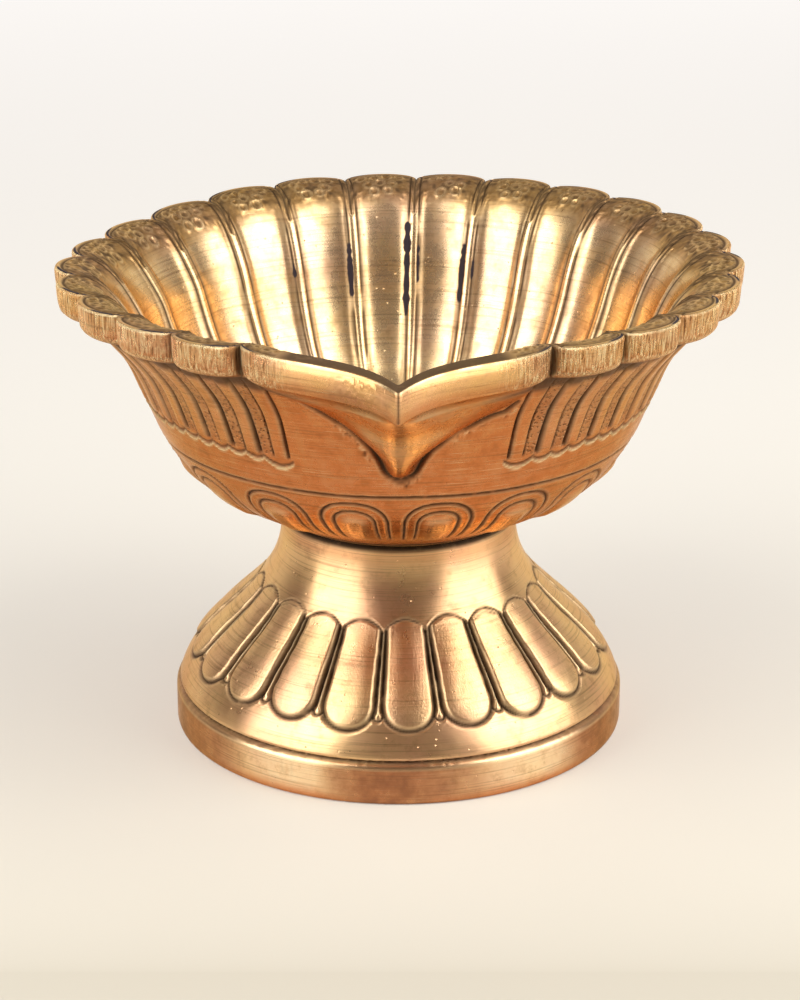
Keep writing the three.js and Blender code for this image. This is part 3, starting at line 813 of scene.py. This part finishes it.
def inside_shape(columns, rows):
    """Radius and height of the bowl's inside at points of its profile, before its fillets and rings."""
    r, z = rows[:, :1], rows[:, 1:]
    at_rim = ease(r, LIP_INSIDE, RIM_RADIUS)
    edge = rim_out(columns) - LOBE_DEPTH
    side = np.abs(columns) / SPOUT_HALF
    gap = arc_length(from_valley(columns), r)
    half = arc_length(PITCH / 2, r)
    part = clamp((gap - 1.0) / np.maximum(half - 1.0, 0.3))
    hollow = FLUTE_DEPTH * (1 - 0.4 * (1 - part) ** 2 - 0.6 * (1 - part) ** 8)
    hollow = hollow * ease(z, FLOOR_THICKNESS, WAIST_RISE / 2)
    drop = rim_drop(columns)
    out = clamp((r - LIP_INSIDE) / (RIM_RADIUS - LIP_INSIDE))
    flat = out ** lerp(LIP_FLATNESS, 1, np.minimum(side, 1) ** 3)
    hollowed = channel(columns, z)
    lip = lerp(LIP_INSIDE + hollowed, RIM_RADIUS, flat) + edge * lerp(flat, at_rim, np.minimum(side, 1))
    spout_r = np.where(r < LIP_INSIDE, r + hollowed, lip)
    spout_z = z - drop * ease(z, WAIST_RISE, BOWL_HEIGHT)
    lobed_r = r + lerp(hollow, edge, at_rim)
    lobed_z = z - drop * at_rim
    height = np.where(side < 1, spout_z, lobed_z) - settled(columns, z)
    return np.where(side < 1, spout_r, lobed_r), height


def chase_fillets(relief, pattern, gap, r, z):
    """Narrow fillets between the flutes, with a dark line on either side of each."""
    on_lobes = ease(np.abs(pattern) / SPOUT_HALF, 0.97, 1.0)
    fade = on_lobes * ease(r, 15.5, 20)
    slim = np.clip(r / 42, 0.45, 1)
    index = np.round(pattern / PITCH)
    relief.height += 0.17 * fade * bump(gap, 0.66 * slim) ** 1.5
    worn = 1 + 0.45 * sway(z + 13 * index, 61, 18)
    relief.line(gap - 0.98 * slim, 0.28 * fade * np.clip(worn, 0.25, 1.3), 0.21 * slim, burr=0.1)
    relief.mark(wear_and_highlight=0.25 * fade * bump(gap, 0.4 * slim), patina_and_shade=0.25 * fade * bump(gap - 1.4, 0.5))


# Dried oil: which valley, how far beside it, from and to which height, and how wide
STAINS = [(-12, 1.0, 26, 36.5, 0.5), (13, 1.1, 22, 40, 0.62), (13, -1.0, 28, 36, 0.28),
          (12, 1.2, 25, 36.5, 0.6), (12, -0.9, 29, 34, 0.25), (-10, 0.9, 17, 21, 0.5),
          (-11, 0.9, 30, 34, 0.25), (13, 1.9, 21, 23, 0.5)]


def stain_valleys(relief, pattern, radius, z):
    """Old oil, dried almost black beside a few of the fillets at the back."""
    for valley, offset, low, high, width in STAINS:
        across = arc_length(wrapped(pattern - valley * PITCH), radius) - offset
        ragged = width * (1 + 0.35 * sway(z, 90 + abs(valley), 7) + 0.25 * sway(z, 95 + abs(valley), 2.5))
        inside = ease(z, low, low + 0.8) * (1 - ease(z, high - 2, high))
        relief.mark(stain_and_shade=inside * bump(across, np.maximum(ragged, 0.1)))


def inside_patch(columns, rows):
    radius, z = inside_shape(columns, rows)
    gap = arc_length(from_valley(columns), radius)
    return radius, z, np.broadcast_to(columns, radius.shape), gap, Relief(radius.shape)


def bowl_top(solid, columns):
    """The rim's top, from its outer edge to the knee of the roll."""
    rows = roll(1 - (1 - ROLL_KNEE) * np.linspace(0, 1, 46) ** 1.1)
    radius, z, pattern, gap, relief = inside_patch(columns, rows)
    inset = VALLEY_RADIUS + rim_out(columns) - radius
    width = arc_length(PITCH, radius)
    across = (((pattern / PITCH) % 1) - 0.5) * width
    worn = clamp(0.5 + 0.9 * grain(pattern / 2.5, 0 * gap, 49))
    relief.mark(wear_and_highlight=worn * bump(inset - 0.2, 0.2) * (gap > 0.5))
    chase_lobe_tops(relief, pattern, across, inset, width)
    chase_fillets(relief, pattern, gap, rows[:, :1], z)
    spout = 1 - ease(np.abs(pattern) / SPOUT_HALF, 0.6, 0.75)
    relief.mark(rough=0.4 * spout)
    inner_edge = bump(inset - LIP_WIDTH + 0.9, 0.25)
    relief.mark(patina_and_shade=0.88 * spout * ease(inset, 0.3, 0.8) * (1 - inner_edge))
    # The inner part of the top is painted paler with the inside, a painted sheen.
    relief.mark(wear_and_highlight=0.8 * spout * inner_edge, pale=INSIDE_PALE * ease(inset, 7, 10))
    solid.add(raised(grid_points(columns + wander(columns), radius, z), relief.height), relief.marks)


def bowl_inside(solid, columns):
    wall = roll(np.linspace(ROLL_KNEE - 0.015, 0, 26))[:-1]
    rows = np.concatenate([wall, basin(np.linspace(1, 0.04, 34))])
    radius, z, pattern, gap, relief = inside_patch(columns, rows)
    chase_fillets(relief, pattern, gap, radius, z)
    stain_valleys(relief, pattern, radius, z)
    # The whole inside is painted paler, a painted sheen.
    relief.mark(pale=INSIDE_PALE)
    solid.add(raised(grid_points(columns + wander(columns), radius, z), relief.height), relief.marks)


def build_bowl(material):
    fine, medium = bowl_columns(80, 56), bowl_columns(40, 28)
    coarse = medium[::2]
    solid = Solid()
    plain = lambda r, z: solid.add([grid_points(coarse + wander(coarse), r, z)])
    solid.pole(HOLE_DEPTH)
    plain(HOLE_RADIUS, HOLE_DEPTH)
    plain(HOLE_RADIUS, HOLE_EDGE)
    plain(HOLE_RADIUS + HOLE_EDGE, 0.0)
    plain(SEAT_RADIUS - 0.4, 0.0)
    bowl_outside(solid, fine)
    bowl_rim_face(solid, fine)
    bowl_top(solid, fine)
    bowl_inside(solid, medium)
    plain(FLOOR_RADIUS - 0.6, FLOOR_THICKNESS - 0.03)
    plain(FLOOR_RADIUS / 2, FLOOR_THICKNESS - 0.2)
    solid.pole(FLOOR_THICKNESS - 0.25)
    solid.rings = [ring + (0, 0, SEAT) for ring in solid.rings]
    return solid.build("bowl_casting", material)


# Pedestal

shoulder = bend((SHOULDER_RADIUS, BASE_BAND + GROOVE_WIDTH), (SLOPE_RADIUS, SLOPE_HEIGHT), SHOULDER_BEND)
neck = bend((SLOPE_RADIUS, SLOPE_HEIGHT), (NECK_RADIUS, PEDESTAL_HEIGHT - 0.4), NECK_BEND)
PETAL_COLUMNS = 32

# Where the base band is nicked, and where highlights are painted on it, pale and untarnished, and how far
# round
NICKS = (-29.5, -27.2)
PAINTED_HIGHLIGHTS = ((-28, 13), (37, 15))


def chase_petals(relief, azimuth, radius, z):
    """Long petals with a round toe, and a fine ridge in the groove between two of them."""
    pitch = 360 / PETALS
    turn = azimuth - PETAL_TURN + 0.25 * np.sin(np.radians(3 * azimuth))
    index = np.floor(turn / pitch)
    across = 1 - np.abs(2 * ((turn / pitch) % 1) - 1)
    gap = arc_length(across * pitch / 2, radius)
    middle = arc_length((1 - across) * pitch / 2, radius)
    foot = PETAL_FOOT + 0.2 * np.sin(index * 2.1)
    top = PETAL_TOP + 0.25 * np.sin(index * 1.3) - PETAL_ARCH * (1 - across) ** 2
    half = middle + gap - lerp(0.42, 0.72, ease(radius, 22, 36))
    below = np.clip((foot + PETAL_TOE - z) / PETAL_TOE, 0, None)
    side = (1 - np.sqrt((middle / half) ** 2 + below ** 2)) * half
    high = (top - z) * 1.15
    inside = np.minimum(side, high)
    puff = clamp(inside / 3.4)
    crest = np.sqrt(clamp(1 - (1 - puff) ** 2))
    relief.height += 0.62 * crest * lerp(0.3, 1.0, ease(high, 0.3, 8))
    under = high > 0.15
    deep = lerp(0.45, 1.0, ease(z, foot + 0.6, foot + PETAL_TOE)) * lerp(1, 0.75, ease(z, 20, 26))
    worn = np.clip(1 + 0.5 * sway(z * 1.3 + 17 * index + 9 * (turn / pitch % 1 > 0.5), 72, 6), 0.5, 1.35)
    relief.line(np.where(under, side + 0.1, 9), 0.62 * deep * worn, 0.38, burr=0.08)
    varied = np.clip(1 + 0.3 * sway(azimuth, 71, 13), 0.5, 1.3)
    relief.line(high, 0.20 * varied, 0.19, burr=0.3)
    second = np.where(np.abs(index % 5 - 2) < 0.5, high - 0.8, 9)
    relief.line(np.where(gap > 1, second, 9), 0.10 * varied, 0.15, burr=0.3)
    centre = PETAL_FOOT + 2.1
    tongue = np.hypot(gap, np.minimum(z - centre, 0) * 1.1) - 0.85
    relief.line(np.where((z < centre) & (side < 0.2), tongue, 9), 0.36, 0.2)
    groove = under * (side < 0) * (z > PETAL_FOOT + 1.3)
    relief.height -= 0.15 * groove
    ridge = bump(gap, 0.2) * under * (z > centre)
    relief.height += 0.22 * ridge
    relief.mark(wear_and_highlight=0.9 * ridge)
    relief.mark(wear_and_highlight=0.45 * bump(side - 0.5, 0.25) * under)
    relief.mark(stroke=0.1 * ease(inside, 0, 1))


def pedestal_rows():
    """(radius, height) of the pedestal's outside."""
    band = [(BASE_RADIUS - 0.75, 0.0), (BASE_RADIUS - 0.38, 0.1), (BASE_RADIUS - 0.14, 0.32)]
    band += [(BASE_RADIUS - 0.03, z) for z in (0.75, 1.6, 2.8, 4.0, 5.2, 6.1)]
    band += [(BASE_RADIUS - 0.06, 6.6), (BASE_RADIUS - 0.2, 6.95), (BASE_RADIUS - 0.5, 7.18)]
    deep = SHOULDER_RADIUS - GROOVE_DEPTH
    band += [(deep + 0.3, 7.32), (deep, 7.45), (deep, 7.6), (deep + 0.3, 7.75), (deep + 0.6, 7.9)]
    parts = [np.array(band), along(shoulder, 8.0, 11.6, 0.45), along(shoulder, 11.6, SLOPE_HEIGHT, 0.34)]
    parts += [along(neck, SLOPE_HEIGHT, 28.4, 0.34), along(neck, 28.4, PEDESTAL_HEIGHT - 0.4, 0.8)]
    top = [(NECK_RADIUS, PEDESTAL_HEIGHT - 0.4), (NECK_RADIUS - 0.12, PEDESTAL_HEIGHT - 0.12)]
    parts.append(np.array(top + [(NECK_RADIUS - 0.4, PEDESTAL_HEIGHT)]))
    return np.concatenate(parts)


def hollow_rows():
    """(radius, height) under the pedestal: the web, then the wall's inside down to the floor."""
    web = PEDESTAL_HEIGHT - WEB
    top = NECK_RADIUS - PEDESTAL_WALL
    rows = [(HOLE_RADIUS, PEDESTAL_HEIGHT), (HOLE_RADIUS, web), (top - 1.4, web), (top - 0.4, web - 0.4)]
    rows += [(top, web - 1.4)]
    for curve, places in ((neck, (0.7, 0.5, 0.3, 0.12)), (shoulder, (1, 0.8, 0.6, 0.4, 0.25))):
        for place in places:
            (r, z), (r2, z2) = curve(place)[0], curve(place - 0.01)[0]
            out = np.array([z - z2, r2 - r]) / math.hypot(z - z2, r - r2)
            rows.append((r - PEDESTAL_WALL * out[0], z - PEDESTAL_WALL * out[1]))
    rows += [(BASE_RADIUS - PEDESTAL_WALL, 2.2), (BASE_RADIUS - PEDESTAL_WALL, 0.4)]
    return np.array(rows + [(BASE_RADIUS - PEDESTAL_WALL + 0.3, 0.0)])


def build_pedestal(material):
    part = np.arange(0, 1, 1 / PETAL_COLUMNS)
    part = part - 0.5 * np.sin(2 * math.pi * part) / (2 * math.pi)
    columns = np.concatenate([PETAL_TURN + 360 / PETALS * (index + part) for index in range(PETALS)])
    rows = pedestal_rows()
    azimuth, z = np.meshgrid(wrapped(columns), rows[:, 1])
    radius = rows[:, :1]
    relief = Relief(azimuth.shape)
    chase_petals(relief, azimuth, radius, z)
    groove = bump(z - 7.52, 0.3)
    chatter = grain(azimuth * 1.3, z * 2.5, 81)
    relief.height += groove * 0.16 * chatter
    relief.mark(patina_and_shade=groove * np.clip(0.95 + 0.5 * chatter, 0.2, 1))
    relief.mark(wear_and_highlight=0.5 * bump(z - 6.7, 0.25))
    for nick in NICKS:
        away = np.hypot((azimuth - nick) * 0.7, np.maximum(np.abs(z - 4.4) - 0.9, 0))
        relief.line(away, 0.12, 0.2, dark=0.5, burr=0.6)
    # Painted highlights: two patches of the band, where the lamps' highlights fall, are painted pale and
    # untarnished; elsewhere the band is tarnished darker, partly its tone and partly a painted dark
    # reflection.
    painted_highlight = np.maximum(*(bump(azimuth - at, half) for at, half in PAINTED_HIGHLIGHTS))
    tarnish_and_painted_light = clamp(0.75 + 0.3 * sway(azimuth, 83, 90) - 1.1 * painted_highlight)
    relief.mark(copper_and_dark_reflection=tarnish_and_painted_light * (1 - ease(z, 6.6, 7.4)))
    relief.mark(copper_and_dark_reflection=0.9 * (1 - ease(z, 0.2, 2.6)))
    band = 1 - ease(z, 6.9, 7.4)
    relief.mark(film_and_dark_reflection=tarnish_and_painted_light * band, pale=0.9 * painted_highlight * band * ease(z, 0.2, 2.6))
    relief.mark(copper_and_dark_reflection=0.35 * bump(z - 36.9, 1.2))
    relief.mark(patina_and_shade=ease(z, PEDESTAL_HEIGHT - 0.9, PEDESTAL_HEIGHT - 0.3))
    relief.height[0] = relief.height[-1] = 0
    solid = Solid()
    solid.add(raised(grid_points(columns, radius, z), relief.height), relief.marks)
    under = hollow_rows()
    few = columns[::2]
    cast = Relief((len(under), len(few)))
    cast.mark(rough=1, copper_and_dark_reflection=0.5, patina_and_shade=0.35 + 0.3 * grain(few / 5, under[:, 1:] / 3, 82))
    solid.add(grid_points(few, under[:, :1], under[:, 1:]), cast.marks)
    return solid.build("pedestal_casting", material)


# Fixing

def extent(box):
    """Bottom, top and half the width of a box."""
    low, high = box
    return low.z / MM, high.z / MM, (high.x - low.x) / 2 / MM


THREAD_PITCH = 1.0


def threaded(z, angle, major, pitch, depth):
    wave = np.abs(2 * ((z / pitch - angle / 360) % 1) - 1)
    return major - depth * wave


def build_stud(material):
    low, high, radius = extent(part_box("stud"))
    columns = np.arange(0, 360, 7.5)
    z = np.concatenate([[low, low + 0.05], np.arange(low + 0.15, high - 0.15, 0.13), [high - 0.05, high]])
    end = np.minimum(z - low, high - z)
    chamfer = radius - 0.75 * clamp(1 - end / 0.75)
    thread = threaded(z[:, None], columns, radius, THREAD_PITCH, 0.55)
    solid = Solid()
    solid.pole(low)
    solid.add(grid_points(columns, np.minimum(thread, chamfer[:, None]), z[:, None]))
    solid.pole(high)
    return solid.build("threaded_stud", material)


def ring_solid(name, material, columns, rows):
    """A closed ring whose rows are (radii, height) pairs, up the outside and down the bore."""
    solid = Solid()
    for radii, z in rows:
        solid.add([grid_points(columns, radii, z)])
    return solid.build(name, material)


def build_washer(material):
    low, high, outer = extent(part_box("washer"))
    edge, bore = 0.2, HOLE_RADIUS
    rows = [(bore + edge, low), (outer - edge, low), (outer - 0.05, low + 0.06), (outer, low + edge),
            (outer, high - edge), (outer - 0.05, high - 0.06), (outer - edge, high), (bore + edge, high),
            (bore, high - edge), (bore, low + edge)]
    return ring_solid("flat_washer", material, np.arange(0, 360, 5.0), rows)


def build_nut(material):
    low, high, corner = extent(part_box("nut"))
    flat = corner * math.cos(math.pi / 6)
    columns = np.arange(0, 360, 3.0)
    hexagon = np.minimum(flat / np.cos(np.radians((columns - 90) % 60 - 30)), corner - 0.06)
    bore = HOLE_RADIUS - 0.15
    rows = [(bore + 0.5, low), (flat - 0.25, low)]
    for climb in np.linspace(0, 1, 15):
        z = lerp(low, high, climb)
        rise = min(z - low, high - z)
        rows.append((np.minimum(hexagon, flat - 0.1 + rise * 1.75), z))
    rows += [(flat - 0.25, high), (bore + 0.5, high)]
    for z in np.arange(high - 0.4, low + 0.3, -0.125):
        rows.append((threaded(z, columns, bore, THREAD_PITCH, -0.001), z))
    return ring_solid("hex_nut", material, columns, rows)


# Stage

FLOOR_REACH = 3.2
FLOOR_COLOUR = (0.60, 0.57, 0.49)
GLOW, GLOW_NEAR, GLOW_FAR, GLOW_CURVE = (0.77, 0.77, 0.78), -90, 760, 0.52
ROOM_LOW, ROOM_HIGH = (0.17, 0.13, 0.11), (0.30, 0.26, 0.23)
BACKDROP = (0.85, 0.82, 0.76)

# Each lamp's place, the height that it faces on the axis, its width and height, and its brightness
LAMP_COLOUR = (1.0, 0.99, 0.96)
LAMPS = {"left_softbox": ((-0.29, -0.185, 0.22), 0.10, 0.33, 0.44, 3.25),
         "right_softbox": ((0.32, -0.12, 0.22), 0.10, 0.38, 0.44, 3.15),
         "upper_left_softbox": ((-0.26, -0.14, 0.60), 0.08, 0.26, 0.30, 2.7),
         "upper_right_softbox": ((0.28, -0.10, 0.60), 0.08, 0.30, 0.30, 2.7)}


def build_floor():
    """A pale floor. Seen directly or mirrored, it turns whiter towards its far side."""
    angles = np.radians(np.arange(0, 360, 5.0))
    corners = [(FLOOR_REACH * math.cos(angle), FLOOR_REACH * math.sin(angle), 0) for angle in angles]
    mesh = bpy.data.meshes.new("floor")
    mesh.from_pydata(corners, [], [tuple(range(len(corners)))])
    n = material_nodes("pale_floor")
    n.fill(n.shader, {"Base Color": (*FLOOR_COLOUR, 1), "Roughness": 0.95, "Specular IOR Level": 0.0})
    depth = n.add("ShaderNodeSeparateXYZ", {0: n.place}).outputs["Y"]
    far = n.math("POWER", n.ramp(depth, GLOW_NEAR, GLOW_FAR, kind="LINEAR"), GLOW_CURVE)
    n.fill(n.shader, {"Emission Color": (*GLOW, 1), "Emission Strength": n.times(far, n.seen())})
    mesh.materials.append(n.owner)
    floor = linked("floor", mesh)
    floor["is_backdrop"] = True


def build_world():
    """A dim room, a little lighter above, with a pale backdrop behind that only the camera and the
    metal's mirror images see."""
    scene.world = bpy.data.worlds.new("studio")
    n = Nodes(scene.world)
    towards = n.add("ShaderNodeTexCoord").outputs["Generated"]
    split = n.add("ShaderNodeSeparateXYZ", {0: towards}).outputs
    room = n.mix(n.ramp(split["Z"], 0.0, 0.9), ROOM_LOW, ROOM_HIGH)
    behind = n.times(n.ramp(split["Y"], 0.2, 0.75), n.ramp(split["Z"], 0.75, 0.45))
    colour = n.mix(n.times(behind, n.seen()), room, BACKDROP)
    n.fill(n.tree.nodes["Background"].inputs, {"Color": colour})


def build_lights():
    for name, (spot, aim, width, height, radiance) in LAMPS.items():
        light = bpy.data.lights.new(name, "AREA")
        light.shape, light.size, light.size_y = "RECTANGLE", width, height
        light.energy = radiance * math.pi * width * height
        light.color = LAMP_COLOUR
        lamp = linked(name, light)
        lamp.location = spot
        lamp.rotation_euler = (Vector((0, 0, aim)) - lamp.location).to_track_quat("-Z", "Y").to_euler()


CAMERA_BACK, CAMERA_HEIGHT, CAMERA_RIGHT = 473.7, 216.0, 0.25
CAMERA_PITCH, CAMERA_LENS = 20.38, 103.16


def build_camera():
    data = bpy.data.cameras.new("camera")
    data.lens = CAMERA_LENS
    data.sensor_width = 36
    data.clip_start = 0.01
    camera = linked("camera", data)
    camera.location = Vector((CAMERA_RIGHT, AXIS_Y - CAMERA_BACK, CAMERA_HEIGHT)) * MM
    camera.rotation_euler = (math.radians(90 - CAMERA_PITCH), 0, 0)
    scene.camera = camera


def place(piece, node, slot):
    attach(piece, "root")
    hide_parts(node)


build_camera()
build_world()
build_lights()
build_floor()
cast_brass = brass("cast_brass", GOLD, (0.05, 0.05, 3.0), 0.22, 0.3)
turned_brass = brass("turned_brass", PALE_GOLD, (0.05, 0.05, 4.0), 0.26, 0.75)
fixing_brass = machined("fixing_brass")
place(build_bowl(cast_brass), "bowl", "cast_brass")
place(build_pedestal(turned_brass), "pedestal", "turned_brass")
place(build_stud(fixing_brass), "stud", "fixing_brass")
place(build_washer(fixing_brass), "washer", "fixing_brass")
place(build_nut(fixing_brass), "nut", "fixing_brass")
scene.view_settings.view_transform = "Standard"

boxes = {"cad": cad_box, "visual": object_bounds()}
{name: [list(corner) for corner in box] for name, box in boxes.items()}
